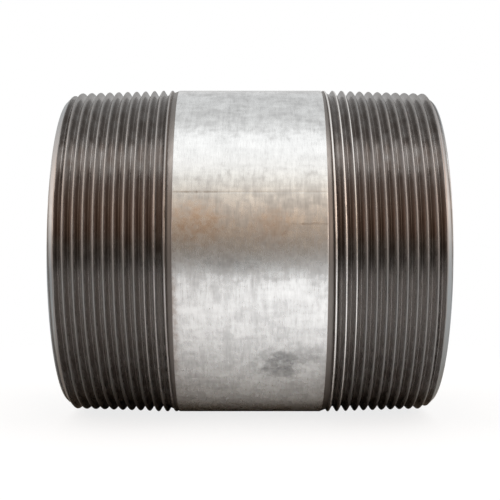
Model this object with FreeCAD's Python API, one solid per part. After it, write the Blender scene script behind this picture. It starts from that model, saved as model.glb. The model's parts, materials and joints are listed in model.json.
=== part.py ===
import FreeCAD, Part
import math
import os

# A galvanised steel pipe nipple: nominal 4 inch schedule 40 welded pipe, 5 inches long, with an
# American taper pipe thread (8 threads per inch) cut on each end through the zinc.
# The axis of the pipe is X, Z is up, and the origin is the centre of the pipe.

# Driving dimensions, in millimetres.
LENGTH = 127.0
STEEL_OD = 114.3
WALL = 6.02
ZINC = 0.08
PITCH = 25.4 / 8
TAPER = 1 / 32  # rise of the thread's radius per millimetre of length
PITCH_RADIUS_AT_END = 110.093 / 2
EFFECTIVE_THREAD = 33.02  # length of thread whose roots are fully formed
RUN_OUT_TURNS = 1.75  # turns over which the die's throat lifts the roots to the surface
CREST_TRUNCATION = 0.068 * PITCH
ROOT_TRUNCATION = 0.045 * PITCH
FLANK_TAN = math.tan(math.radians(30))
CHAMFER_UNDER_ROOT = 0.2  # the end chamfer's rim is this far under the first root
REAM = 0.8  # width of the reamed bevel at each mouth of the bore
LEFT_START_DEG = 140.0  # clock angle (from +Y towards +Z) of the groove at the left end face
RIGHT_START_DEG = 330.0  # the same for the right thread, before it is turned end for end
LAND_DROP = 0.03  # how far the die's heel wears down the crests that reach full pipe size
SEAM_DEG = 161.2  # clock angle of the longitudinal weld
BEAD_WIDTH = 5.0
BEAD_HEIGHT = 0.2
WELD_DEPTH = 1.2  # how far the bead's metal reaches into the wall
WELD_ROOT_WIDTH = 3.0
LINING_BLEND = 0.3  # how far past each edge of the bead the lining starts to rise over it

# Sizes that follow.
HALF = LENGTH / 2
STEEL_R = STEEL_OD / 2
BORE_R = STEEL_R - WALL
SHARP_HEIGHT = PITCH / 2 / FLANK_TAN
APEX_R_AT_END = PITCH_RADIUS_AT_END - SHARP_HEIGHT / 2
ROOT_R_AT_END = APEX_R_AT_END + ROOT_TRUNCATION
CREST_R_AT_END = APEX_R_AT_END + SHARP_HEIGHT - CREST_TRUNCATION
CREST_TAPER_LENGTH = (STEEL_R - LAND_DROP - CREST_R_AT_END) / TAPER
RIM_R = ROOT_R_AT_END - CHAMFER_UNDER_ROOT
CHAMFER_LENGTH = (CREST_R_AT_END - RIM_R) / (1 - TAPER)
THREAD_LENGTH = EFFECTIVE_THREAD + RUN_OUT_TURNS * PITCH
THROAT_ROOT_R = ROOT_R_AT_END + EFFECTIVE_THREAD * TAPER
THROAT_SLOPE = (STEEL_R - THROAT_ROOT_R) / (RUN_OUT_TURNS * PITCH)
ZINC_BEVEL = ZINC / THROAT_SLOPE  # the throat's cone goes this much further in through the zinc
BODY_HALF = HALF - THREAD_LENGTH - ZINC_BEVEL

# Construction sizes. The helical cutter is made of short stretches laid end to end.
STRETCH_TURNS = 0.5
STEPS_PER_STRETCH = 18
TURNS_BEFORE_END = 1.25
TURNS_PAST_THREAD = 0.75
CUTTER_OVER_CREST = CREST_TRUNCATION / 2
OVERSHOOT = 2.0  # how far simple cutting tools run past the pipe

X_AXIS = FreeCAD.Vector(1, 0, 0)
Z_AXIS = FreeCAD.Vector(0, 0, 1)
ORIGIN = FreeCAD.Vector(0, 0, 0)


def on_pipe(x, radius, degrees):
    """A point at a station, radius and clock angle."""
    angle = math.radians(degrees)
    return FreeCAD.Vector(x, radius * math.cos(angle), radius * math.sin(angle))


def turned(outline):
    """The solid made by turning a closed outline of (x, radius) points about the pipe's axis."""
    points = [FreeCAD.Vector(x, 0, radius) for x, radius in outline]
    face = Part.Face(Part.makePolygon(points + points[:1]))
    return face.revolve(ORIGIN, X_AXIS, 360)


def rod(radius, half_length):
    """A plain cylinder centred on the origin."""
    return Part.makeCylinder(radius, 2 * half_length, FreeCAD.Vector(-half_length, 0, 0), X_AXIS)


def left_outside(thickness):
    """The outside of the left half from the end of the crest taper in, under or over a coat."""
    return [
        (-HALF + CREST_TAPER_LENGTH, STEEL_R - LAND_DROP + thickness),
        (-BODY_HALF, STEEL_R + thickness),
    ]


def both_halves(outline):
    """A left-hand outline followed by its mirror image."""
    return outline + [(-x, radius) for x, radius in reversed(outline)]


def blank():
    """The pipe before threading: taper-turned ends, end chamfers and a reamed bore."""
    bore_mouth = [(-HALF + REAM, BORE_R), (-HALF, BORE_R + REAM)]
    chamfer = [(-HALF, RIM_R), (-HALF + CHAMFER_LENGTH, CREST_R_AT_END + CHAMFER_LENGTH * TAPER)]
    return turned(both_halves(bore_mouth + chamfer + left_outside(0)))


def groove_line(start_deg, first_turn, x_offset, radius_at_end):
    """One edge of a stretch of the groove: a right-hand taper helix on the left end."""
    points = []
    for step in range(STEPS_PER_STRETCH + 1):
        turns = first_turn + STRETCH_TURNS * step / STEPS_PER_STRETCH
        inward = turns * PITCH + x_offset
        points.append(on_pipe(inward - HALF, radius_at_end + inward * TAPER, start_deg + 360 * turns))
    curve = Part.BSplineCurve()
    curve.interpolate(points)
    return curve.toShape()


def groove_stretch(start_deg, first_turn):
    """A helical ridge with the section of the thread groove, one stretch long."""
    top_r = CREST_R_AT_END + CUTTER_OVER_CREST
    root_half = (ROOT_R_AT_END - APEX_R_AT_END) * FLANK_TAN
    top_half = (top_r - APEX_R_AT_END) * FLANK_TAN
    corners = [
        (-top_half, top_r),
        (-root_half, ROOT_R_AT_END),
        (root_half, ROOT_R_AT_END),
        (top_half, top_r),
    ]
    lines = [groove_line(start_deg, first_turn, x_offset, radius) for x_offset, radius in corners]
    faces = [Part.makeRuledSurface(a, b) for a, b in zip(lines, lines[1:] + lines[:1])]
    for end in (0, -1):
        cap = [line.Vertexes[end].Point for line in lines]
        faces.append(Part.Face(Part.makePolygon(cap + cap[:1])))
    shell = Part.makeShell(faces)
    shell.sewShape()
    stretch = Part.makeSolid(shell)
    if stretch.Volume < 0:
        stretch.reverse()
    return stretch


def throat_core():
    """What the die's throat can't reach: inside this cone the run-out grooves stay uncut."""
    outer_end = -HALF + EFFECTIVE_THREAD
    inner_end = -HALF + THREAD_LENGTH + OVERSHOOT
    top_r = STEEL_R + OVERSHOOT * THROAT_SLOPE
    return turned([(outer_end, 0), (outer_end, THROAT_ROOT_R), (inner_end, top_r), (0, top_r), (0, 0)])


def left_thread_cutter():
    """What the die removes from the left end, as a list of short helical solids."""
    core = throat_core()
    first_turn = -TURNS_BEFORE_END
    stretches = []
    while first_turn * PITCH < THREAD_LENGTH + TURNS_PAST_THREAD * PITCH:
        stretches += groove_stretch(LEFT_START_DEG, first_turn).cut(core).Solids
        first_turn += STRETCH_TURNS
    return stretches


def right_thread_cutter():
    """The same for the right end: the left cutter turned end for end and clocked round."""
    stretches = [stretch.copy() for stretch in left_thread_cutter()]
    for stretch in stretches:
        stretch.rotate(ORIGIN, X_AXIS, RIGHT_START_DEG - LEFT_START_DEG)
        stretch.rotate(ORIGIN, Z_AXIS, 180)
    return stretches


def weld_crown(half_width, height):
    """A low crowned strip on the bore's wall, along the whole pipe, at the weld's clock angle."""
    half_angle = math.degrees(half_width / BORE_R)
    edges = [SEAM_DEG - half_angle, SEAM_DEG + half_angle]
    start, end = [on_pipe(-HALF, BORE_R, degrees) for degrees in edges]
    wall = Part.Arc(start, on_pipe(-HALF, BORE_R, SEAM_DEG), end).toShape()
    crown = Part.Arc(end, on_pipe(-HALF, BORE_R - height, SEAM_DEG), start).toShape()
    return Part.Face(Part.Wire([wall, crown])).extrude(X_AXIS * LENGTH)


def seam_weld():
    """The longitudinal weld: a crowned bead in the bore, on a root that reaches into the wall."""
    bore_angle = math.degrees(BEAD_WIDTH / 2 / BORE_R)
    root_angle = math.degrees(WELD_ROOT_WIDTH / 2 / BORE_R)
    low_edge, crown, high_edge = [
        on_pipe(-HALF, radius, SEAM_DEG + angle)
        for radius, angle in [(BORE_R, -bore_angle), (BORE_R - BEAD_HEIGHT, 0), (BORE_R, bore_angle)]
    ]
    high_root = on_pipe(-HALF, BORE_R + WELD_DEPTH, SEAM_DEG + root_angle)
    low_root = on_pipe(-HALF, BORE_R + WELD_DEPTH, SEAM_DEG - root_angle)
    edges = [
        Part.Arc(low_edge, crown, high_edge).toShape(),
        Part.makeLine(high_edge, high_root),
        Part.makeLine(high_root, low_root),
        Part.makeLine(low_root, low_edge),
    ]
    return reamed(Part.Face(Part.Wire(edges)).extrude(X_AXIS * LENGTH))


def reamed(shape):
    """The shape with the bevels of the bore's two mouths cut off it."""
    for side in (-1, 1):
        outline = [
            (side * (HALF + OVERSHOOT), 0),
            (side * (HALF + OVERSHOOT), BORE_R + REAM + OVERSHOOT),
            (side * (HALF - REAM - OVERSHOOT), BORE_R - OVERSHOOT),
            (side * (HALF - REAM - OVERSHOOT), 0),
        ]
        shape = shape.cut(turned(outline))
    return shape


def steel_pipe():
    """The pipe wall, with both taper threads cut and the weld's metal left out of it."""
    return blank().cut(seam_weld()).cut(left_thread_cutter() + right_thread_cutter())


def zinc_outer_coat():
    """The galvanising left outside: on the plain length and on the last crests of each thread."""
    inside = both_halves(left_outside(0))
    outside = both_halves(left_outside(ZINC))
    coat = turned(outside + inside[::-1])
    return coat.cut(left_thread_cutter() + right_thread_cutter())


def zinc_bore_lining():
    """The galvanising of the bore, which follows the weld bead."""
    lining = rod(BORE_R, HALF).cut(rod(BORE_R - ZINC, HALF + OVERSHOOT))
    over_bead = weld_crown(BEAD_WIDTH / 2 + LINING_BLEND, BEAD_HEIGHT + ZINC)
    return reamed(lining.fuse(over_bead).cut(seam_weld()))


os.makedirs("parts", exist_ok=True)
for make in (steel_pipe, seam_weld, zinc_outer_coat, zinc_bore_lining):
    shape = make()
    solids = shape.Solids
    if len(solids) != 1 or not solids[0].isValid():
        raise SystemExit(f"{make.__name__} is not one valid solid")
    solids[0].exportStep(f"parts/{make.__name__}.step")
    print(make.__name__, round(solids[0].Volume, 1), "mm3")
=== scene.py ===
import json
import math

import bmesh
import bpy
import numpy as np
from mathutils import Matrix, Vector, noise


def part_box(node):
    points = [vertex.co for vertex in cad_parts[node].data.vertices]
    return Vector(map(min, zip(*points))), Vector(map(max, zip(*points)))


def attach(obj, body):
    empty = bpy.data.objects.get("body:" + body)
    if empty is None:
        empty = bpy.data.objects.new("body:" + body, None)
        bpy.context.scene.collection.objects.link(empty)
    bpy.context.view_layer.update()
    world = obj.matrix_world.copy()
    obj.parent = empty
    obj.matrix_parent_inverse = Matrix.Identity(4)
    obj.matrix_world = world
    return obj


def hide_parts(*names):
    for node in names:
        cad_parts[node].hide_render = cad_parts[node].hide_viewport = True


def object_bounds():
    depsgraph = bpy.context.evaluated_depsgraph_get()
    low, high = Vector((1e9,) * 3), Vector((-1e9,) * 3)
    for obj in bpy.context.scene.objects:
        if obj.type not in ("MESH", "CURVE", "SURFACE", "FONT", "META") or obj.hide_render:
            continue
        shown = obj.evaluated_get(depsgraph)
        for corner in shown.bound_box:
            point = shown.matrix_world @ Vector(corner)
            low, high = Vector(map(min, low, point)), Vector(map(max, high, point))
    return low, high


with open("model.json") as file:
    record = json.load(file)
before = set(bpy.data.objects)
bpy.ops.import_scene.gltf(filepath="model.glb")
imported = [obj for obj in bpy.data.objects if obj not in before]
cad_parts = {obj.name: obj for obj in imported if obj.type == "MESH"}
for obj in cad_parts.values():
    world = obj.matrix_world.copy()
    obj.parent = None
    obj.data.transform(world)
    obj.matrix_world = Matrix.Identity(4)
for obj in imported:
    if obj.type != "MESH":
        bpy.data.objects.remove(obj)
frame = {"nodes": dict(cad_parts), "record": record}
cad_low, cad_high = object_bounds()

# A galvanised steel pipe nipple lying on its side. Lengths here are in millimetres, and go into
# Blender in metres. Each thread is described from its own end face: "inward" is the distance in
# from the face, and a clock angle counts from +Y towards +Z on the left end.
MM = 0.001
mounts = {mount["name"]: mount for mount in frame["record"]["mounts"]}
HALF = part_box("steel_pipe")[1].x / MM
COAT_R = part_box("zinc_outer_coat")[1].z / MM
LINING_R = mounts["bore"]["dims"]["r_mm"]
THREAD_PITCH_R = mounts["thread_left"]["dims"]["r_mm"]  # at the end face
FULL_THREAD = mounts["thread_left"]["dims"]["length_mm"]

# The pipe and its thread, as in the CAD model.
ZINC = 0.08
STEEL_R = COAT_R - ZINC
BORE_R = LINING_R + ZINC
REAM = 0.8
PITCH = 25.4 / 8
TAPER = 1 / 32
CREST_TRUNCATION = 0.068 * PITCH
ROOT_TRUNCATION = 0.045 * PITCH
LEFT_START_DEG = 140.0  # clock angle of the groove at the end face, in the end's own view
RIGHT_START_DEG = 330.0
SEAM_DEG = 161.2
BEAD_WIDTH = 5.0
BEAD_HEIGHT = 0.2
LINING_BLEND = 0.3  # how far past each edge of the bead the lining starts to rise over it
FLANK_TAN = math.tan(math.radians(30))
SHARP_HEIGHT = PITCH / 2 / FLANK_TAN
APEX_R = THREAD_PITCH_R - SHARP_HEIGHT / 2
ROOT_R = APEX_R + ROOT_TRUNCATION
CREST_R = APEX_R + SHARP_HEIGHT - CREST_TRUNCATION
CHAMFER_UNDER_ROOT = 0.2
RIM_R = ROOT_R - CHAMFER_UNDER_ROOT
COAT_START = (STEEL_R - CREST_R) / TAPER  # where the crests reach the pipe's full size
RUN_OUT = 1.75 * PITCH
THROAT_R = ROOT_R + FULL_THREAD * TAPER
THROAT_SLOPE = (STEEL_R - THROAT_R) / RUN_OUT

# How a real nipple departs from the drawing.
THROAT_OFF_CENTRE = 0.28  # the dies sat this much deeper at clock angle THROAT_DEEP_DEG
THROAT_DEEP_DEG = 185.0
EDGE_ROUNDING = 0.24  # of each crest's edge that faces inwards
CREST_ROLL = 0.5  # of the edge that faces the end of the pipe, which the die rolls over
CONE_ROUNDING = 0.02  # where the crests' taper meets the plain length
CHAMFER_ROUNDING = 0.15  # where the end chamfer meets the crests' taper
FILLET = 0.1  # at the groove's bottom
ZINC_EDGE = 0.03  # rounding of the zinc's edges
CREST_WANDER = 0.02  # how unevenly the bare crests are worn
PEEL = 0.012  # height of the ripples in the zinc
COAT_FADE = 1.2  # length over which the zinc reaches full thickness on the crests
LINE_DEPTH = 0.03  # of the faint line along the weld
LINE_HALF_WIDTH = 0.24
LINE_EVEN = 0.6  # share of the line's depth that stays the same all along it
CHAMFER_LENGTH = 1.9
CHAMFER_EDGE = 0.12  # where the groove is cut deeper than this, the chamfer's turned face is gone
SCALY_LENGTH = 2.4  # of the run-out's shallow inner end, where scale and dirt stay in the groove

# The marks that the meshes give to the materials: how deep the steel is cut, how worn the zinc is.
DEEPEST_CUT = 2.42  # no real cut is deeper than this
SCALY_MARK = 2.5  # stands for the cut depth on the scaly inner end of the run-out
TURNED_MARK = -1.0  # stands for it on the turned faces at the end of the pipe
CREST_WEAR = 0.8  # the zinc on the crests counts as worn at least this much

# Relief in the surfaces: ((length along the pipe, across, across), seed).
CREST_RIPPLE = ((2.5, 9.0, 9.0), 3)
FINE_PEEL = ((2.2, 1.6, 1.6), 5)
BROAD_PEEL = ((9.0, 6.0, 6.0), 6)
BROAD_PEEL_SHARE = 1.4
LINE_RIPPLE = ((7.0, 30.0, 30.0), 7)
LONG_RUNS = ((14.0, 2.5, 2.5), 8)
SHORT_RUNS = ((3.0, 2.0, 2.0), 9)
RIPPLE_SHIFT = 17.3  # how far apart two seeds look in the same noise

# The mesh.
COLUMNS = 240
BESIDE_WELD_LINE = (-0.45, -0.2, 0.0, 0.2, 0.45)  # degrees to the extra columns there
COLUMNS_APART = 0.3  # degrees. Even columns nearer to an extra one are left out
TURNS_BEFORE = 2  # turns of the helical rows before the end face, which lie squeezed together
TURNS_AFTER = 3  # and past the thread's end
EDGE_ROW = 0.07  # from the crest's edge to the next row
LAND_EDGE_ROW = 1.5  # on a groove's inner side that row lies this many times as far off
FLANK_SHARES = (0.6, 0.27, 0.12)  # of the flank that rises inwards, still to climb at each row
CHAMFER_END = 2.9  # how far in the end's plain rings reach and the helical rows start
CHAMFER_ROW = 0.1
STEEL_BODY_ROWS = (0.0, 0.6)  # from the thread's end, under the coat
COAT_EDGE_ROWS = (0.0, 0.08, 0.2, 0.45)  # from the thread's end
BODY_ROW = 0.9
MIDDLE_GAP = 1.0  # between the last of those rows and the one at the pipe's middle, at least
LINING_ROW = 1.6
MERGE = 0.015  # rows closer than this share their points
JOIN = 0.001  # points closer than this become one
EMBED = 0.02  # how far one layer's hidden side reaches into the next
CORNER = 0.05  # size of the rounding at the mouth's corners
SHARP_ANGLE = math.radians(50)  # edges sharper than this aren't shaded smooth

# Colours are linear. The steel's and the weld's.
CREST_COLOUR = (0.266, 0.262, 0.258)
CREST_TINT = (0.275, 0.264, 0.255)
# The roots are darker than the crests, partly from oil and partly as painted shade in the groove.
ROOT_COLOUR = (0.183, 0.162, 0.15)
ROOT_TINT = (0.255, 0.241, 0.232)
# Painted reflection of the warm room, for the grooves in a band above the middle of the front.
ROOT_WARM_REFLECTION = (0.243, 0.201, 0.183)
# Painted reflection of the pale floor, for the grooves below the middle of the front.
ROOT_PALE_REFLECTION = (0.285, 0.266, 0.254)
SCALE_COLOUR = (0.19, 0.172, 0.16)
TURNED_COLOUR = (0.335, 0.362, 0.378)
WELD_COLOUR = (0.5, 0.49, 0.48)

# Where the steel's colours lie. Angles are in degrees up from the middle of the front, and each
# pair goes from none to all of the colour.
# A band of painted warm reflection in the grooves, where they mirror the warm room.
WARM_REFLECTION_ABOVE = (30.0, 20.0)
WARM_REFLECTION_BELOW = (0.0, 8.0)
WARM_REFLECTION_SHARE = 0.8
# A band of painted pale reflection in the grooves, where they mirror the pale floor.
PALE_REFLECTION_ABOVE = (3.0, -9.0)
PALE_REFLECTION_BELOW = (-46.0, -20.0)
ROOT_DEPTHS = (0.15, 1.5)  # cut depths from the crest's colour to the root's, which is darker partly from oil and partly as painted shade
GROOVE_ROUGHNESS = (0.16, 0.24)
CREST_EXTRA_ROUGHNESS = 0.16
SCALE_EXTRA_ROUGHNESS = 0.18
WELD_ROUGHNESS = (0.3, 0.45)

# The zinc's.
ZINC_BRIGHT = (0.93, 0.93, 0.925)
ZINC_DULL = (0.52, 0.52, 0.52)
ZINC_WORN = (0.31, 0.285, 0.27)
ZINC_WORN_PALE = (0.8, 0.77, 0.745)
PALER_END = (-10.0, 10.0)  # stations between which the worn zinc turns paler, left to right
WEAR_SEEN = (0.3, 1.0)  # wear from which the worn colour starts to show, and where it is full
ZINC_ROUGHNESS = (0.2, 0.33)
BORE_BRIGHT = (0.56, 0.615, 0.65)
BORE_DULL = (0.42, 0.46, 0.485)
BORE_ROUGHNESS = (0.42, 0.55)
BEAD_COLOUR = (0.25, 0.262, 0.27)
BEAD_SHARE = 0.7
STAIN_BROWN = (0.68, 0.47, 0.3)
STAIN_GREY = (0.24, 0.24, 0.24)
# Used for real dark stains along the weld, and also for a long band of painted shade.
STAIN_AND_SHADE_DARK = (0.3, 0.25, 0.21)
STAIN_SCALY = (0.4, 0.35, 0.32)

# Grains in the materials: ((length along the pipe, across, across), seed, detail).
CREST_GRAIN = ((14.0, 16.0, 16.0), 1, 3.0)
OIL_GRAIN = ((2.0, 5.0, 5.0), 2, 3.0)
SCORING_GRAIN = ((0.14, 14.0, 14.0), 3, 2.0)
TEARING_GRAIN = ((0.3, 1.6, 1.6), 4, 2.0)
STAIN_GRAIN = ((2.2, 2.2, 2.2), 16, 3.0)
RUNS_GRAIN = ((26.0, 3.0, 3.0), 21, 4.0)
CLOUDS_GRAIN = ((12.0, 9.0, 9.0), 22, 3.0)
RAGGED_GRAIN = ((2.5, 2.0, 2.0), 31, 3.0)
WELD_GRAIN = ((0.3, 0.5, 0.5), 41, 3.0)
FLOOR_GRAIN = ((60.0, 60.0, 60.0), 51, 3.0)
GRAIN_ROUGHNESS = 0.55
GRAIN_SHIFT = (7.1, 3.7, 5.3)  # how far apart two seeds look in the same noise
GRAIN_RANGE = (0.3, 0.7)  # where most of a grain's values lie
OIL_RANGE = (0.35, 0.68)
RUNS_RANGE = (0.25, 0.75)
SCORING_SHARE = 0.6
TEARING_SHARE = 0.3
STEEL_RELIEF = 0.01  # depths of the fine relief
ZINC_RELIEF = 0.012
BORE_RELIEF = 0.014
WELD_RELIEF = 0.01
RAGGED_BY = 0.3  # how far a spot's edge wanders, as a share of its size
STAIN_STREAKS = (0.32, 0.62, 0.4, 1.0)  # its grain's range, and the stain's strength there
STAIN_SOFTNESS = 0.7
# Edge softness of the bands of painted highlight.
HIGHLIGHT_BAND_SOFTNESS = 0.6

# The outer zinc's clouds and streaks, then its dull scratches, which lie only where their grain
# is high: (share, (length along the pipe, across, across), seed).
ZINC_DETAIL = 1.2
ZINC_GRAINS = [
    (0.32, (9.0, 7.0, 7.0), 11),
    (0.14, (8.0, 1.5, 1.5), 12),
    (0.2, (1.5, 9.0, 9.0), 13),
    (0.24, (2.6, 2.4, 2.4), 14),
    (0.1, (0.9, 4.0, 4.0), 15),
]
SCRATCH_DETAIL = 1.0
SCRATCH_RANGE = (0.54, 0.7)
ZINC_SCRATCHES = [
    (0.14, (0.5, 2.6, 2.6), 17),
    (0.2, (0.14, 3.5, 3.5), 18),
]

# Bands of painted highlight, where the zinc mirrors the brightest light and is painted lighter
# with less mottle: ((station, clock angle), (half length, half width), share of the dullness left
# there). Then its stains, where the share is of the colour that follows it. One of them is a long
# band of painted shade.
HIGHLIGHT_BANDS = [
    ((0.0, 146.5), (70.0, 8.0), 0.45),
    ((6.0, 198.0), (70.0, 9.0), 0.8),
]
STAINS_AND_PAINTED_SHADE = [
    ((-17.0, 171.0), (7.5, 5.5), 0.5, STAIN_BROWN),
    ((7.0, 172.0), (5.0, 4.5), 0.35, STAIN_BROWN),
    # A long darker band along the front, where the zinc mirrors the dark horizon: painted shade.
    ((-6.0, 177.0), (34.0, 6.5), 0.27, STAIN_AND_SHADE_DARK),
    ((-24.2, 205.0), (1.5, 19.0), 0.85, STAIN_SCALY),
    ((-5.0, 184.5), (8.0, 2.6), 0.3, STAIN_GREY),
    ((9.0, 219.5), (5.6, 5.0), 0.85, STAIN_GREY),
    ((16.5, 216.0), (7.0, 3.2), 0.45, STAIN_GREY),
    ((19.0, 171.5), (4.5, 0.35), 0.5, STAIN_AND_SHADE_DARK),
    ((-18.0, SEAM_DEG), (7.0, 0.35), 0.6, STAIN_AND_SHADE_DARK),
    ((3.0, SEAM_DEG), (24.0, 0.3), 0.25, STAIN_AND_SHADE_DARK),
]

# The floor.
FLOOR_REACH = 0.6  # metres
FLOOR_FADE_START = 0.15  # metres from the middle, where the floor starts to fade away
FLOOR_FADE_END = 0.32
FLOOR_CORNERS = 96
FLOOR_GAP = 0.02  # under the pipe
FLOOR_SEEN = (0.95, 0.95, 0.95)  # by the camera. The other colours are those that are mirrored
FLOOR_COLOUR = (0.85, 0.895, 0.93)
FLOOR_SHADE = (0.81, 0.855, 0.89)
# Painted shadow to the left of the pipe, in the floor as the pipe mirrors it.
FLOOR_LEFT_SHADOW = (0.48, 0.48, 0.48)
# Painted shadow under the pipe, in the floor as the pipe mirrors it.
FLOOR_SHADOW_UNDER = (0.35, 0.308, 0.255)
FLOOR_NEAR = 11.0  # within this far of the pipe's line of contact the mirrored floor's painted shadow is darkest
FLOOR_OPEN = 27.0
# The mirrored floor's darkening to the left is a painted shadow.
LEFT_FADE = (10.0, -80.0)  # stations between which the mirrored floor darkens to the left
LEFT_EDGE = (-140.0, -105.0)  # and between which it is pale again, from the second to the first
FLOOR_GLOW = 0.8  # share of plain white light in what the camera sees of the floor
FLOOR_ROUGHNESS = 0.75

# The studio. Room colours go by elevation in degrees, from the front at 0 over the top to the
# back at 180, and below the horizon from 0 down to -180.
ROOM = [
    (-179, (0.3, 0.3, 0.3)),
    (-120, (0.4, 0.4, 0.4)),
    (-60, (0.85, 0.85, 0.85)),
    (-31, (0.92, 0.92, 0.92)),
    (-19, (0.84, 0.84, 0.84)),
    (-10, (0.52, 0.52, 0.51)),
    (-5, (0.36, 0.345, 0.325)),
    (0, (0.375, 0.33, 0.285)),
    (6, (0.44, 0.365, 0.3)),
    (14, (0.56, 0.435, 0.335)),
    (22, (0.69, 0.535, 0.41)),
    (30, (0.91, 0.75, 0.615)),
    (39, (1.04, 0.935, 0.81)),
    (48, (1.1, 1.06, 0.985)),
    (57, (1.09, 1.08, 1.05)),
    (66, (1.09, 1.09, 1.08)),
    (78, (1.12, 1.13, 1.13)),
    (88, (1.08, 1.09, 1.09)),
    (106, (0.82, 0.83, 0.83)),
    (140, (0.73, 0.74, 0.745)),
    (158, (0.78, 0.78, 0.78)),
    (168, (0.5, 0.5, 0.5)),
    (179, (0.32, 0.32, 0.32)),
]

# The room at the pipe's two ends, by degrees above the horizon.
SIDES = [
    (-90, (0.4, 0.4, 0.4)),
    (-38, (0.72, 0.74, 0.76)),
    (-26, (0.92, 0.94, 0.96)),
    (-16, (1.1, 1.12, 1.12)),
    (-7, (0.95, 0.94, 0.92)),
    (1, (0.9, 0.84, 0.8)),
    (8, (2.25, 1.92, 1.7)),
    (16, (2.68, 2.14, 1.86)),
    (24, (2.6, 2.0, 1.66)),
    (32, (1.7, 1.34, 1.17)),
    (42, (0.9, 0.88, 0.86)),
    (70, (1.1, 1.1, 1.1)),
    (90, (1.1, 1.1, 1.1)),
]
SIDES_ASIDE = (0.45, 0.86)  # how far sideways a direction points where SIDES starts, and is full
SIDES_BEHIND = (0.25, 0.5, 1.0, 0.35)  # and how far back, with the shares left at both
LEFT_DIMMING = (0.06, -0.1)  # the room in front dims from right to left, below FRONT_TOP
FRONT_TOP = (66.0, 36.0)
DIMMED_BY = 0.36
WHITE = (1.0, 1.0, 1.0)

# Lights: (place, size, watts), in metres.
OVERHEAD = ((0.0, -0.12, 0.62), (1.1, 0.6), 2.2)
STRIP = ((0.0, -0.22, 0.6), (1.4, 0.25), 2.6)

# The camera, in millimetres.
LENS = 78.8
CAMERA_AWAY = 395.0
CAMERA_UP = 0.35
CAMERA_NEAREST = 10.0  # nearer things aren't drawn


class End:
    """One end of the pipe: its thread's start and where its die cut deepest, both as clock
    angles in the end's own view, and whether it is the end turned round to face +X."""

    def __init__(self, start_deg, turned):
        self.start_deg = start_deg
        self.turned = turned
        self.deep_deg = 180 - THROAT_DEEP_DEG if turned else THROAT_DEEP_DEG

    def columns(self):
        """Clock angles of the mesh's columns: even, with extra ones beside the weld line."""
        even = np.arange(COLUMNS) * 360 / COLUMNS
        beside = SEAM_DEG + np.array(BESIDE_WELD_LINE)
        apart = np.abs(even[:, None] - beside[None, :]).min(axis=1) > COLUMNS_APART
        angles = np.concatenate([even[apart], beside])
        return np.sort((180 - angles) % 360 if self.turned else angles)

    def place(self, inward, radius, angles):
        """Points in the row frame, in millimetres, from places seen from this end."""
        facing = -1 if self.turned else 1
        radians = np.radians(np.broadcast_to(angles, inward.shape))
        x = (inward - HALF) * facing
        y = radius * np.cos(radians) * facing
        return np.stack([x, y, radius * np.sin(radians)], axis=-1)


LEFT = End(LEFT_START_DEG, False)
RIGHT = End(RIGHT_START_DEG, True)


def soft_min(a, b, width):
    """The lower of two surfaces, with the corner between them rounded over."""
    blend = np.clip(0.5 + 0.5 * (b - a) / width, 0, 1)
    return b * (1 - blend) + a * blend - width * blend * (1 - blend)


def soft_max(a, b, width):
    """The higher of two surfaces, with the corner between them filled."""
    return -soft_min(-a, -b, width)


def ripples(points, size, seed):
    """Smooth noise from -1 to 1 at points, with a grain about size millimetres long each way."""
    shifted = points.reshape(-1, 3) / np.array(size) + seed * RIPPLE_SHIFT
    values = [noise.noise(Vector(point)) for point in shifted]
    return np.array(values).reshape(points.shape[:-1])


def throat_sunk(end, angles):
    """How far the off-centre die lowers its throat's cone at each clock angle."""
    return THROAT_OFF_CENTRE * np.cos(np.radians(angles - end.deep_deg))


def throat_radius(end, inward, angles):
    """The cone that the die's throat leaves."""
    return THROAT_R + (inward - FULL_THREAD) * THROAT_SLOPE - throat_sunk(end, angles)


def throat_exit(end, angles):
    """How far in the throat's cone comes out of the pipe's surface: the end of the thread."""
    return FULL_THREAD + (STEEL_R - THROAT_R + throat_sunk(end, angles)) / THROAT_SLOPE


def blank_radius(inward):
    """The pipe's outside before threading: end chamfer, crest taper and plain length."""
    cone = soft_min(CREST_R + inward * TAPER, np.full_like(inward, STEEL_R), CONE_ROUNDING)
    return soft_min(RIM_R + inward, cone, CHAMFER_ROUNDING)


def groove_sides(end, inward, angles):
    """The thread's groove as two surfaces, carried on upwards past the pipe's surface: the side
    that rises inwards from the last groove's bottom, and the side that falls to the next one."""
    turns = inward / PITCH - (angles - end.start_deg) / 360
    past = (turns - np.floor(turns)) * PITCH
    apex = APEX_R + inward * TAPER
    floor = np.maximum(ROOT_R + inward * TAPER, throat_radius(end, inward, angles))
    rising = soft_max(apex + past / FLANK_TAN, floor, FILLET)
    falling = soft_max(apex + (PITCH - past) / FLANK_TAN, floor, FILLET)
    return rising, falling


def groove_edges(end, centre, angles):
    """Where a groove's two flanks meet the surface, given how far in its centre is."""
    full = (CREST_R - APEX_R) * FLANK_TAN
    rise = STEEL_R - APEX_R - centre * TAPER
    outer = centre - np.minimum(full, rise / (1 / FLANK_TAN - TAPER))
    inner = centre + np.minimum(full, rise / (1 / FLANK_TAN + TAPER))
    last = throat_exit(end, angles)
    return np.minimum(outer, last), np.minimum(inner, last)


def groove_floor(end, centre, angles):
    """Where a groove's two flanks meet its floor."""
    plain = (ROOT_R - APEX_R) * FLANK_TAN
    lift = throat_radius(end, centre, angles) - APEX_R - centre * TAPER
    outer = centre - np.maximum(plain, lift / (1 / FLANK_TAN - TAPER + THROAT_SLOPE))
    inner = centre + np.maximum(plain, lift / (1 / FLANK_TAN + TAPER - THROAT_SLOPE))
    return outer, inner


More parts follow.
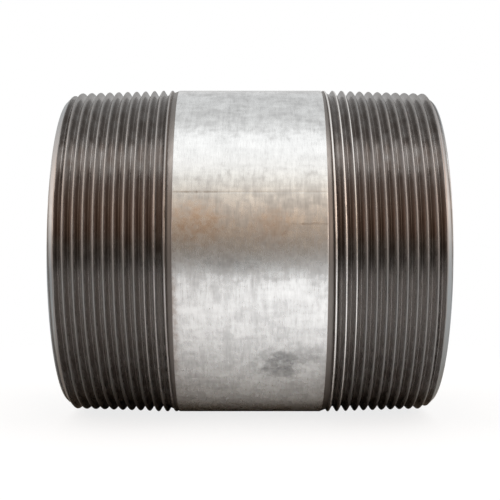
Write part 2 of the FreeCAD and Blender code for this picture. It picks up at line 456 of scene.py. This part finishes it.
def turn_rows(end, turn, angles):
    """The mesh rows of one turn of the thread: across its groove, then across the land after it."""
    centre = PITCH * (turn + (angles - end.start_deg) / 360)
    outer, inner = groove_edges(end, centre, angles)
    floor_outer, floor_inner = np.clip(groove_floor(end, centre, angles), outer, inner)
    next_outer = groove_edges(end, centre + PITCH, angles)[0]
    outer_edge = np.minimum(EDGE_ROW, (floor_outer - outer) / 4)
    land_edge = np.minimum(EDGE_ROW, (next_outer - inner) / 4)
    groove = [
        outer,
        outer + outer_edge,
        (outer + floor_outer) / 2,
        floor_outer,
        (floor_outer + floor_inner) / 2,
        floor_inner,
    ]
    groove += [inner - (inner - floor_inner) * share for share in FLANK_SHARES]
    land = [
        inner,
        inner + land_edge * LAND_EDGE_ROW,
        (inner + next_outer) / 2,
        next_outer - land_edge,
    ]
    return groove, land


def thread_rows(end, angles, lowest):
    """All the rows of a thread, helix after helix, held between lowest and the thread's end.
    Also how many rows one turn takes, and how many of those lie in the groove."""
    rows = []
    turns = math.ceil(FULL_THREAD / PITCH + RUN_OUT / PITCH) + TURNS_AFTER
    for turn in range(-TURNS_BEFORE, turns):
        groove, land = turn_rows(end, turn, angles)
        rows += groove + land
    last = throat_exit(end, angles)
    held = np.clip(np.array(rows), lowest, last)
    held = np.where(held - lowest < MERGE, lowest, held)
    held = np.where(last - held < MERGE, last, held)
    return held, len(groove) + len(land), len(groove)


def helix_faces(inward, per_turn, left_out=0):
    """Faces between helical rows: the last column joins the first one a whole turn further on.
    Rows squeezed together at the thread's two ends share their points. The first rows of each
    turn can be left out."""
    count, columns = inward.shape
    apart = np.vstack([np.full(columns, True), np.diff(inward, axis=0) > MERGE])
    own_row = np.maximum.accumulate(np.where(apart, np.arange(count)[:, None], 0), axis=0)
    point = own_row * columns + np.arange(columns)
    faces = []
    for row in range(count - 1):
        if row % per_turn < left_out:
            continue
        for column in range(columns):
            beside, on = (column + 1, 0) if column + 1 < columns else (0, per_turn)
            if row + on + 1 >= count:
                continue
            corners = [
                point[row, column],
                point[row + 1, column],
                point[row + on + 1, beside],
                point[row + on, beside],
            ]
            loop = [c for i, c in enumerate(corners) if c != corners[i - 1]]
            if len(set(loop)) > 2:
                faces.append(loop)
    return faces


def steel_radius(end, inward, angles):
    """The steel's surface: the pipe's outside, a little uneven, with the groove cut in it."""
    cone = blank_radius(inward)
    place = end.place(inward, cone, angles)
    worn = 0.5 + 0.5 * ripples(place, *CREST_RIPPLE)
    bare = np.clip(COAT_START - inward, 0, 1)
    crest = cone - CREST_WANDER * worn * bare
    rising, falling = groove_sides(end, inward, angles)
    rolled = soft_min(crest, rising, EDGE_ROUNDING + (CREST_ROLL - EDGE_ROUNDING) * bare)
    return soft_min(rolled, falling, EDGE_ROUNDING)


def weld_line(points):
    """How far each point is from the weld's line, in millimetres round the pipe."""
    clock = np.degrees(np.arctan2(points[..., 2], points[..., 1])) % 360
    return np.radians(clock - SEAM_DEG) * STEEL_R


def zinc_radius(end, inward, angles):
    """The outer coat's surface, which thins out on the first crests that it reaches."""
    thickness = ZINC * np.clip((inward - COAT_START) / COAT_FADE, 0, 1)
    place = end.place(inward, np.full_like(inward, STEEL_R), angles)
    peel = ripples(place, *FINE_PEEL) + BROAD_PEEL_SHARE * ripples(place, *BROAD_PEEL)
    line = np.exp(-(weld_line(place) / LINE_HALF_WIDTH) ** 2)
    line = line * (LINE_EVEN + (1 - LINE_EVEN) * ripples(place, *LINE_RIPPLE))
    surface = STEEL_R + thickness * (1 + peel * PEEL / ZINC - line * LINE_DEPTH / ZINC)
    rising, falling = groove_sides(end, inward, angles)
    return soft_min(soft_min(surface, rising, ZINC_EDGE), falling, ZINC_EDGE)


def coat_wear(radius, least):
    """How worn away the outer coat is, given its surface: 0 where it is full, 1 where it is gone."""
    return np.clip((STEEL_R + ZINC - radius) / ZINC, least, 1)


def body_rows(end, angles, steps):
    """Rows from the thread's end to the middle of the pipe, steps given in millimetres."""
    start = throat_exit(end, angles)
    share = np.append(np.array(steps)[:, None] / (HALF - start.mean()), [[1.0]], axis=0)
    return start + (HALF - start) * share


def ring_faces(rows, columns):
    """Faces between closed rings of points, one ring after the other."""
    faces = []
    for row in range(rows - 1):
        for column in range(columns):
            a = row * columns
            b = a + columns
            beside = (column + 1) % columns
            faces.append([a + column, b + column, b + beside, a + beside])
    return faces


class Shell:
    """Points and faces gathered sheet by sheet, then joined into one mesh."""

    def __init__(self):
        self.points = []
        self.faces = []
        self.marks = []
        self.count = 0

    def add(self, points, faces, marks):
        """A sheet of points (millimetres) with its faces and a value for each point."""
        flat = points.reshape(-1, 3)
        self.faces += [[self.count + corner for corner in face] for face in faces]
        self.points.append(flat)
        self.marks.append(np.broadcast_to(marks, points.shape[:-1]).reshape(-1))
        self.count += len(flat)

    def build(self, name, mark_name, back_radius=None):
        """The finished object, with touching points joined. A back radius closes it with a copy
        of itself at that radius, joined on all round the open edges."""
        mesh = bpy.data.meshes.new(name)
        points = np.concatenate(self.points) * MM
        mesh.from_pydata(points.tolist(), [], self.faces)
        attribute = mesh.attributes.new(mark_name, "FLOAT", "POINT")
        attribute.data.foreach_set("value", np.concatenate(self.marks).astype(np.float32))
        work = bmesh.new()
        work.from_mesh(mesh)
        loose = [vertex for vertex in work.verts if not vertex.link_faces]
        bmesh.ops.delete(work, geom=loose, context="VERTS")
        bmesh.ops.remove_doubles(work, verts=work.verts, dist=JOIN * MM)
        if back_radius is not None:
            add_back(work, back_radius * MM)
        bmesh.ops.recalc_face_normals(work, faces=work.faces)
        work.to_mesh(mesh)
        work.free()
        mesh.shade_smooth()
        mesh.set_sharp_from_angle(angle=SHARP_ANGLE)
        piece = bpy.data.objects.new(name, mesh)
        bpy.context.scene.collection.objects.link(piece)
        return piece


def add_back(work, radius):
    """Closes an open sheet round the pipe's axis with a hidden back at the given radius."""
    rims = [edge for edge in work.edges if len(edge.link_faces) == 1]
    faces = list(work.faces)
    copies = bmesh.ops.duplicate(work, geom=list(work.verts) + list(work.edges) + faces)["vert_map"]
    for vertex in {copies[corner] for face in faces for corner in face.verts}:
        across = math.hypot(vertex.co.y, vertex.co.z)
        vertex.co.y *= radius / across
        vertex.co.z *= radius / across
    for edge in rims:
        a, b = edge.verts
        work.faces.new([a, b, copies[b], copies[a]])


def eased(profile):
    """A profile of (inward, radius) points with each corner between its ends turned in three."""
    points = [Vector(point) for point in profile]
    result = [points[0]]
    for before, corner, after in zip(points, points[1:], points[2:]):
        back = corner + (before - corner).normalized() * CORNER
        on = corner + (after - corner).normalized() * CORNER
        result += [back, (back + on + 2 * corner) / 4, on]
    return result + [points[-1]]


def mouth_rows():
    """The rings from the middle of the bore, round the reamed mouth and across the end face."""
    bore = [(HALF, BORE_R), (HALF / 2, BORE_R)]
    bevel = [(REAM, BORE_R), (0, BORE_R + REAM)]
    face = [(0, RIM_R), (2 * CORNER, RIM_R + 2 * CORNER)]
    return bore + [tuple(point) for point in eased([(2 * REAM, BORE_R)] + bevel + face)]


def add_steel_end(shell, end, angles):
    """The bore's wall, its reamed mouth, the end face and the chamfer."""
    mouth = np.array(mouth_rows())[:, :, None] + np.zeros(len(angles))
    chamfer = np.arange(4 * CORNER, CHAMFER_END - CHAMFER_ROW / 2, CHAMFER_ROW)
    chamfer = np.append(chamfer, CHAMFER_END)[:, None] + np.zeros(len(angles))
    inward = np.concatenate([mouth[:, 0], chamfer])
    radius = np.concatenate([mouth[:, 1], steel_radius(end, chamfer, angles)])
    cut = np.concatenate([np.zeros_like(mouth[:, 0]), blank_radius(chamfer)])
    cut[len(mouth):] -= radius[len(mouth):]
    cut = np.where((inward < CHAMFER_LENGTH) & (cut < CHAMFER_EDGE), TURNED_MARK, cut)
    shell.add(end.place(inward, radius, angles), ring_faces(*inward.shape), cut)


def add_steel_thread(shell, end, angles):
    """The thread, from the chamfer to its run-out."""
    inward, per_turn, _ = thread_rows(end, angles, CHAMFER_END)
    radius = steel_radius(end, inward, angles)
    depth = blank_radius(inward) - radius
    depth = np.where(throat_exit(end, angles) - inward < SCALY_LENGTH, SCALY_MARK, depth)
    shell.add(end.place(inward, radius, angles), helix_faces(inward, per_turn), depth)


def steel_pipe():
    """The pipe wall with both threads. Its mark is how deep a point was cut below the blank."""
    shell = Shell()
    for end in (LEFT, RIGHT):
        angles = end.columns()
        add_steel_end(shell, end, angles)
        add_steel_thread(shell, end, angles)
        inward = body_rows(end, angles, STEEL_BODY_ROWS)
        radius = steel_radius(end, inward, angles)
        shell.add(end.place(inward, radius, angles), ring_faces(*inward.shape), SCALY_MARK)
    return shell.build("steel_pipe_threaded", "cut_depth")


def outer_coat():
    """The zinc left outside, on the plain length and on the last crests. Its mark is how worn
    away a point is: 1 where the coat is thinnest."""
    shell = Shell()
    last_row = HALF - FULL_THREAD - RUN_OUT - MIDDLE_GAP
    steps = np.append(COAT_EDGE_ROWS, np.arange(BODY_ROW, last_row, BODY_ROW))
    for end in (LEFT, RIGHT):
        angles = end.columns()
        inward, per_turn, in_groove = thread_rows(end, angles, COAT_START)
        radius = zinc_radius(end, inward, angles)
        faces = helix_faces(inward, per_turn, left_out=in_groove)
        shell.add(end.place(inward, radius, angles), faces, coat_wear(radius, CREST_WEAR))

        inward = body_rows(end, angles, steps)
        radius = zinc_radius(end, inward, angles)
        faces = ring_faces(*inward.shape)
        shell.add(end.place(inward, radius, angles), faces, coat_wear(radius, 0))
    return shell.build("zinc_outer_coat_skin", "worn", STEEL_R - EMBED)


def bore_lining():
    """The zinc in the bore, which rises over the weld's bead. Its mark is how high it rises."""
    angles = LEFT.columns()
    reach = HALF - REAM - ZINC
    stations = np.linspace(-1, 1, 2 * round(reach / LINING_ROW) + 1)[:, None]
    x = stations * reach + np.zeros(len(angles))
    wall = LEFT.place(x + HALF, np.full_like(x, BORE_R), angles)
    across = weld_line(wall) * BORE_R / STEEL_R
    bead = BEAD_HEIGHT * np.maximum(0, 1 - (across / (BEAD_WIDTH / 2 + LINING_BLEND)) ** 2)
    runs = ripples(wall, *LONG_RUNS) + ripples(wall, *SHORT_RUNS)
    radius = LINING_R - bead + PEEL * runs
    shell = Shell()
    shell.add(LEFT.place(x + HALF, radius, angles), ring_faces(*x.shape), bead)
    return shell.build("zinc_bore_lining_skin", "bead", BORE_R + EMBED)


class Nodes:
    """A node tree, with its nodes added one at a time."""

    def __init__(self, tree):
        self.tree = tree

    def set(self, socket, value):
        """Gives a socket a plain value, or joins it to a node's output."""
        if isinstance(value, bpy.types.NodeSocket):
            self.tree.links.new(value, socket)
        elif isinstance(value, tuple) and socket.type == "RGBA":
            socket.default_value = (*value, 1)
        else:
            socket.default_value = value

    def calc(self, operation, a, b=0.0):
        """One step of arithmetic."""
        node = self.tree.nodes.new("ShaderNodeMath")
        node.operation = operation
        self.set(node.inputs[0], a)
        self.set(node.inputs[1], b)
        return node.outputs[0]

    def times(self, a, b):
        """a multiplied by b. Of two masks it is where both of them hold."""
        return self.calc("MULTIPLY", a, b)

    def split(self, vector):
        """The x, y and z of a place or a direction."""
        node = self.tree.nodes.new("ShaderNodeSeparateXYZ")
        self.set(node.inputs[0], vector)
        return node.outputs

    def band(self, value, low, high, start=0.0, end=1.0):
        """value from low to high, stretched smoothly onto start to end."""
        node = self.tree.nodes.new("ShaderNodeMapRange")
        node.interpolation_type = "SMOOTHSTEP"
        inputs = {"Value": value, "From Min": low, "From Max": high, "To Min": start, "To Max": end}
        for name, given in inputs.items():
            self.set(node.inputs[name], given)
        return node.outputs[0]

    def mix(self, share, a, b):
        """Colour a turning into colour b."""
        node = self.tree.nodes.new("ShaderNodeMix")
        node.data_type = "RGBA"
        first_colour, second_colour, result = node.inputs[6], node.inputs[7], node.outputs[2]
        self.set(node.inputs[0], share)
        self.set(first_colour, a)
        self.set(second_colour, b)
        return result

    def mix_shaders(self, share, a, b):
        """Shader a turning into shader b."""
        node = self.tree.nodes.new("ShaderNodeMixShader")
        for socket, given in zip(node.inputs, (share, a, b)):
            self.set(socket, given)
        return node.outputs[0]

    def straight(self):
        """1 where the camera sees a thing straight, 0 where another thing mirrors it."""
        return self.tree.nodes.new("ShaderNodeLightPath").outputs["Is Camera Ray"]


class Finish(Nodes):
    """A material's nodes. Lengths given to it are in millimetres."""

    def __init__(self, name, metal=1.0):
        self.material = bpy.data.materials.new(name)
        self.material.use_nodes = True
        super().__init__(self.material.node_tree)
        self.shader = self.tree.nodes["Principled BSDF"]
        self.shader.inputs["Metallic"].default_value = metal
        self.place = self.tree.nodes.new("ShaderNodeTexCoord").outputs["Object"]

    def grain(self, size, seed, detail):
        """Noise from about 0.25 to 0.75 whose grain is size = (x, y, z) millimetres long."""
        spread = self.tree.nodes.new("ShaderNodeMapping")
        self.set(spread.inputs["Vector"], self.place)
        spread.inputs["Scale"].default_value = [1 / (MM * length) for length in size]
        spread.inputs["Location"].default_value = [seed * shift for shift in GRAIN_SHIFT]
        texture = self.tree.nodes.new("ShaderNodeTexNoise")
        self.set(texture.inputs["Vector"], spread.outputs[0])
        texture.inputs["Scale"].default_value = 1.0
        texture.inputs["Detail"].default_value = detail
        texture.inputs["Roughness"].default_value = GRAIN_ROUGHNESS
        return texture.outputs[0]

    def mark(self, name):
        """A mesh's own per-point value."""
        node = self.tree.nodes.new("ShaderNodeAttribute")
        node.attribute_name = name
        return node.outputs["Fac"]

    def along(self):
        """How far a place lies along the pipe from its middle, in millimetres."""
        return self.calc("DIVIDE", self.split(self.place)[0], MM)

    def turn(self):
        """How many degrees up from the middle of the front a place lies, round the pipe. The
        angle goes from -180 to 180, so that its break falls at the back."""
        _, deep, up = self.split(self.place)
        return self.calc("DEGREES", self.calc("ARCTAN2", up, self.times(deep, -1.0)))

    def spot(self, centre, size, softness):
        """1 inside a ragged oval, fading to 0 over its edge. Its centre is (station, clock angle)
        and its size is (half length, half width)."""
        station, clock = centre
        half_length, half_width = size
        x = self.calc("DIVIDE", self.calc("SUBTRACT", self.along(), station), half_length)
        round_pipe = self.calc("SUBTRACT", self.turn(), 180 - clock)
        y = self.calc("DIVIDE", round_pipe, math.degrees(half_width / STEEL_R))
        squares = self.calc("ADD", self.times(x, x), self.times(y, y))
        wander = self.band(self.grain(*RAGGED_GRAIN), *GRAIN_RANGE, -RAGGED_BY, RAGGED_BY)
        away = self.calc("ADD", self.calc("SQRT", squares), wander)
        return self.band(away, 1 - softness, 1 + softness, 1.0, 0.0)

    def bump(self, height, depth):
        """Fine relief, depth millimetres from its lowest to its highest."""
        node = self.tree.nodes.new("ShaderNodeBump")
        node.inputs["Strength"].default_value = 1.0
        node.inputs["Distance"].default_value = depth * MM
        self.set(node.inputs["Height"], height)
        self.set(self.shader.inputs["Normal"], node.outputs[0])

    def complete(self, colour, roughness):
        """Joins up the colour and roughness, and gives the material."""
        self.set(self.shader.inputs["Base Color"], colour)
        self.set(self.shader.inputs["Roughness"], roughness)
        return self.material


def cut_steel():
    """Threads as the die leaves them: dark and a little oily, the grooves darker partly from oil and
    partly as painted shade. Painted reflections colour the grooves warm in a band above the middle
    of the front, and paler below it. There is scale in the run-out. The turned faces at the ends
    are cleaner."""
    finish = Finish("cut_steel")
    depth = finish.mark("cut_depth")
    turn = finish.turn()
    crest = finish.mix(finish.band(finish.grain(*CREST_GRAIN), *GRAIN_RANGE), CREST_COLOUR, CREST_TINT)
    patches = finish.band(finish.grain(*OIL_GRAIN), *OIL_RANGE)
    # Painted reflection: the grooves warmer in a band above the front's middle, where they mirror the
    # warm room.
    warm_reflection = finish.times(finish.band(turn, *WARM_REFLECTION_ABOVE), finish.band(turn, *WARM_REFLECTION_BELOW))
    # Painted reflection: the grooves paler below the front's middle, where they mirror the pale floor.
    pale_reflection = finish.times(finish.band(turn, *PALE_REFLECTION_ABOVE), finish.band(turn, *PALE_REFLECTION_BELOW))
    root_oil_and_painted_light = finish.mix(patches, ROOT_COLOUR, ROOT_TINT)
    root_oil_and_painted_light = finish.mix(finish.times(warm_reflection, WARM_REFLECTION_SHARE), root_oil_and_painted_light, ROOT_WARM_REFLECTION)
    root_oil_and_painted_light = finish.mix(pale_reflection, root_oil_and_painted_light, ROOT_PALE_REFLECTION)
    # Darker with cut depth: partly oil, partly painted shade in the groove.
    root = finish.band(depth, *ROOT_DEPTHS)
    scaly = finish.band(depth, DEEPEST_CUT, SCALY_MARK)
    turned = finish.band(depth, TURNED_MARK, 0.0, 1.0, 0.0)
    threaded = finish.mix(scaly, finish.mix(root, crest, root_oil_and_painted_light), SCALE_COLOUR)
    colour = finish.mix(turned, threaded, TURNED_COLOUR)

    scoring = finish.times(finish.grain(*SCORING_GRAIN), SCORING_SHARE)
    tearing = finish.times(finish.grain(*TEARING_GRAIN), TEARING_SHARE)
    finish.bump(finish.calc("ADD", scoring, tearing), STEEL_RELIEF)
    in_groove = finish.band(patches, 0.0, 1.0, *GROOVE_ROUGHNESS)
    on_crest = finish.times(finish.calc("SUBTRACT", 1.0, root), CREST_EXTRA_ROUGHNESS)
    on_scale = finish.times(scaly, SCALE_EXTRA_ROUGHNESS)
    roughness = finish.calc("ADD", finish.calc("ADD", in_groove, on_crest), on_scale)
    return finish.complete(colour, roughness)


def outer_zinc():
    """Hot-dip zinc wiped smooth: satin, clouded, streaked along the pipe and round it, painted
    lighter with less mottle in two bands of painted highlight, stained here and there, with a long
    band of painted shade along the front, and worn on the threads' crests, darker at the left."""
    finish = Finish("outer_zinc")
    dull = 0.0
    for share, size, seed in ZINC_GRAINS:
        layer = finish.band(finish.grain(size, seed, ZINC_DETAIL), *GRAIN_RANGE)
        dull = finish.calc("ADD", dull, finish.times(layer, share))
    # Painted highlight: less mottle in two bands where the zinc mirrors the brightest light.
    for centre, size, share in HIGHLIGHT_BANDS:
        highlight_band = finish.spot(centre, size, HIGHLIGHT_BAND_SOFTNESS)
        dull = finish.times(dull, finish.band(highlight_band, 0.0, 1.0, 1.0, share))
    for share, size, seed in ZINC_SCRATCHES:
        layer = finish.band(finish.grain(size, seed, SCRATCH_DETAIL), *SCRATCH_RANGE, 0.0, share)
        dull = finish.calc("ADD", dull, layer)
    colour = finish.mix(dull, ZINC_BRIGHT, ZINC_DULL)
    streaks = finish.band(finish.grain(*STAIN_GRAIN), *STAIN_STREAKS)
    # Real stains, and one long band of painted shade.
    for centre, size, share, stain_and_shade in STAINS_AND_PAINTED_SHADE:
        amount = finish.times(finish.spot(centre, size, STAIN_SOFTNESS), share)
        colour = finish.mix(finish.times(amount, streaks), colour, stain_and_shade)
    worn_colour = finish.mix(finish.band(finish.along(), *PALER_END), ZINC_WORN, ZINC_WORN_PALE)
    colour = finish.mix(finish.band(finish.mark("worn"), *WEAR_SEEN), colour, worn_colour)
    finish.bump(dull, ZINC_RELIEF)
    return finish.complete(colour, finish.band(dull, *GRAIN_RANGE, *ZINC_ROUGHNESS))


def bore_zinc():
    """The bore's zinc: duller, with faint runs along the pipe, and darker on the weld's bead."""
    finish = Finish("bore_zinc")
    runs = finish.band(finish.grain(*RUNS_GRAIN), *RUNS_RANGE)
    clouds = finish.band(finish.grain(*CLOUDS_GRAIN), *GRAIN_RANGE)
    dull = finish.calc("ADD", finish.times(runs, 0.5), finish.times(clouds, 0.5))
    finish.bump(dull, BORE_RELIEF)
    bead = finish.band(finish.mark("bead"), 0.0, BEAD_HEIGHT, 0.0, BEAD_SHARE)
    colour = finish.mix(bead, finish.mix(dull, BORE_BRIGHT, BORE_DULL), BEAD_COLOUR)
    return finish.complete(colour, finish.band(dull, 0.0, 1.0, *BORE_ROUGHNESS))


def weld_metal():
    """The weld's cut end: a little brighter and finer than the pipe's."""
    finish = Finish("weld_metal")
    swirl = finish.grain(*WELD_GRAIN)
    finish.bump(swirl, WELD_RELIEF)
    colour = finish.mix(swirl, CREST_COLOUR, WELD_COLOUR)
    return finish.complete(colour, finish.band(swirl, *GRAIN_RANGE, *WELD_ROUGHNESS))


def floor_finish():
    """A pale floor that fades into the white behind it. Seen straight it is lit enough that the
    pipe's shadow stays faint. The pipe itself mirrors it with painted shadow: underneath, along its
    line of contact, and to the left."""
    finish = Finish("pale_floor", metal=0.0)
    straight = finish.straight()
    pale = finish.mix(finish.grain(*FLOOR_GRAIN), FLOOR_COLOUR, FLOOR_SHADE)
    along = finish.along()
    beside = finish.calc("DIVIDE", finish.calc("ABSOLUTE", finish.split(finish.place)[1]), MM)
    # Painted shadow to the left, where the pipe's shadow falls.
    left = finish.times(finish.band(along, *LEFT_EDGE), finish.band(along, *LEFT_FADE))
    # Painted contact shadow, darkest along the pipe's line of contact.
    under = finish.band(beside, FLOOR_NEAR, FLOOR_OPEN, 1.0, 0.0)
    mirrored = finish.mix(under, finish.mix(left, pale, FLOOR_LEFT_SHADOW), FLOOR_SHADOW_UNDER)
    finish.complete(finish.mix(straight, mirrored, FLOOR_SEEN), FLOOR_ROUGHNESS)

    glow = finish.tree.nodes.new("ShaderNodeEmission")
    share = finish.times(straight, FLOOR_GLOW)
    lit = finish.mix_shaders(share, finish.shader.outputs[0], glow.outputs[0])
    away = finish.tree.nodes.new("ShaderNodeVectorMath")
    away.operation = "LENGTH"
    finish.set(away.inputs[0], finish.place)
    gone = finish.band(away.outputs["Value"], FLOOR_FADE_START, FLOOR_FADE_END)
    clear = finish.tree.nodes.new("ShaderNodeBsdfTransparent")
    surface = finish.tree.nodes["Material Output"].inputs["Surface"]
    finish.set(surface, finish.mix_shaders(gone, lit, clear.outputs[0]))
    return finish.material


def paint(piece, material):
    """Gives a piece its one material."""
    piece.data.materials.clear()
    piece.data.materials.append(material)


def dress(piece, node, material):
    """A new piece that stands for a CAD node."""
    paint(piece, material)
    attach(piece, "root")
    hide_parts(node)


def floor():
    """A round level sheet just under the pipe."""
    work = bmesh.new()
    bmesh.ops.create_circle(work, cap_ends=True, segments=FLOOR_CORNERS, radius=FLOOR_REACH)
    mesh = bpy.data.meshes.new("floor")
    work.to_mesh(mesh)
    work.free()
    sheet = bpy.data.objects.new("floor", mesh)
    sheet.location = (0, 0, cad_low.z - FLOOR_GAP * MM)
    bpy.context.scene.collection.objects.link(sheet)
    mesh.materials.append(floor_finish())


def softbox(name, place, size, watts, only=None):
    """A soft light facing the pipe's middle. It is either for everything, and then isn't
    mirrored, or only for the pieces given."""
    light = bpy.data.lights.new(name, "AREA")
    light.shape = "RECTANGLE"
    light.size, light.size_y = size
    light.energy = watts
    holder = bpy.data.objects.new(name, light)
    if only:
        lit = bpy.data.collections.new(name)
        for piece in only:
            lit.objects.link(piece)
        holder.light_linking.receiver_collection = lit
    else:
        holder.visible_glossy = False
    holder.location = place
    holder.rotation_euler = (-Vector(place)).to_track_quat("-Z", "Y").to_euler()
    bpy.context.scene.collection.objects.link(holder)


def surroundings():
    """The studio as the pipe mirrors it: bright overhead and low in front, dark along the horizon
    and warm a little above it, brightest towards the two ends, and dimmer in front on the left.
    Seen straight by the camera it is plain white."""
    world = bpy.data.worlds.new("studio")
    bpy.context.scene.world = world
    world.use_nodes = True
    nodes = Nodes(world.node_tree)
    nodes.tree.nodes.clear()

    def ramp(degrees, given):
        """The colour at an angle, from colours given at some angles between -180 and 180. They
        take the place of the two stops that a new ramp has at its ends."""
        node = nodes.tree.nodes.new("ShaderNodeValToRGB")
        nodes.set(node.inputs[0], nodes.calc("DIVIDE", nodes.calc("ADD", degrees, 180.0), 360.0))
        stops = node.color_ramp.elements
        for angle, colour in given:
            stops.new((angle + 180) / 360).color = (*colour, 1)
        stops.remove(stops[0])
        stops.remove(stops[-1])
        return node.outputs[0]

    def background(colour, strength):
        """Light from all round."""
        node = nodes.tree.nodes.new("ShaderNodeBackground")
        nodes.set(node.inputs[0], colour)
        nodes.set(node.inputs[1], strength)
        return node.outputs[0]

    side, deep, up = nodes.split(nodes.tree.nodes.new("ShaderNodeTexCoord").outputs["Generated"])
    elevation = nodes.calc("DEGREES", nodes.calc("ARCTAN2", up, nodes.times(deep, -1.0)))
    level = nodes.calc("DEGREES", nodes.calc("ARCSINE", up))
    aside = nodes.band(nodes.calc("ABSOLUTE", side), *SIDES_ASIDE)
    aside = nodes.times(aside, nodes.band(deep, *SIDES_BEHIND))
    room = nodes.mix(aside, ramp(elevation, ROOM), ramp(level, SIDES))
    leftward = nodes.band(side, *LEFT_DIMMING)
    in_front = nodes.band(elevation, *FRONT_TOP)
    dimming = nodes.times(nodes.times(leftward, in_front), DIMMED_BY)
    mirrored = background(room, nodes.calc("SUBTRACT", 1.0, dimming))
    seen = nodes.mix_shaders(nodes.straight(), mirrored, background(WHITE, 1.0))
    nodes.set(nodes.tree.nodes.new("ShaderNodeOutputWorld").inputs[0], seen)


def camera():
    """Level, a shade above the pipe's axis, and square on to its middle."""
    lens = bpy.data.cameras.new("camera")
    lens.lens = LENS
    lens.clip_start = CAMERA_NEAREST * MM
    holder = bpy.data.objects.new("camera", lens)
    holder.location = (0, -CAMERA_AWAY * MM, CAMERA_UP * MM)
    holder.rotation_euler = (math.radians(90), 0, 0)
    bpy.context.scene.collection.objects.link(holder)
    bpy.context.scene.camera = holder


threaded = steel_pipe()
dress(threaded, "steel_pipe", cut_steel())
dress(outer_coat(), "zinc_outer_coat", outer_zinc())
dress(bore_lining(), "zinc_bore_lining", bore_zinc())
paint(frame["nodes"]["seam_weld"], weld_metal())
floor()
surroundings()
softbox("overhead", *OVERHEAD)
softbox("strip", *STRIP, only=[threaded])
camera()
bpy.context.scene.view_settings.view_transform = "Standard"
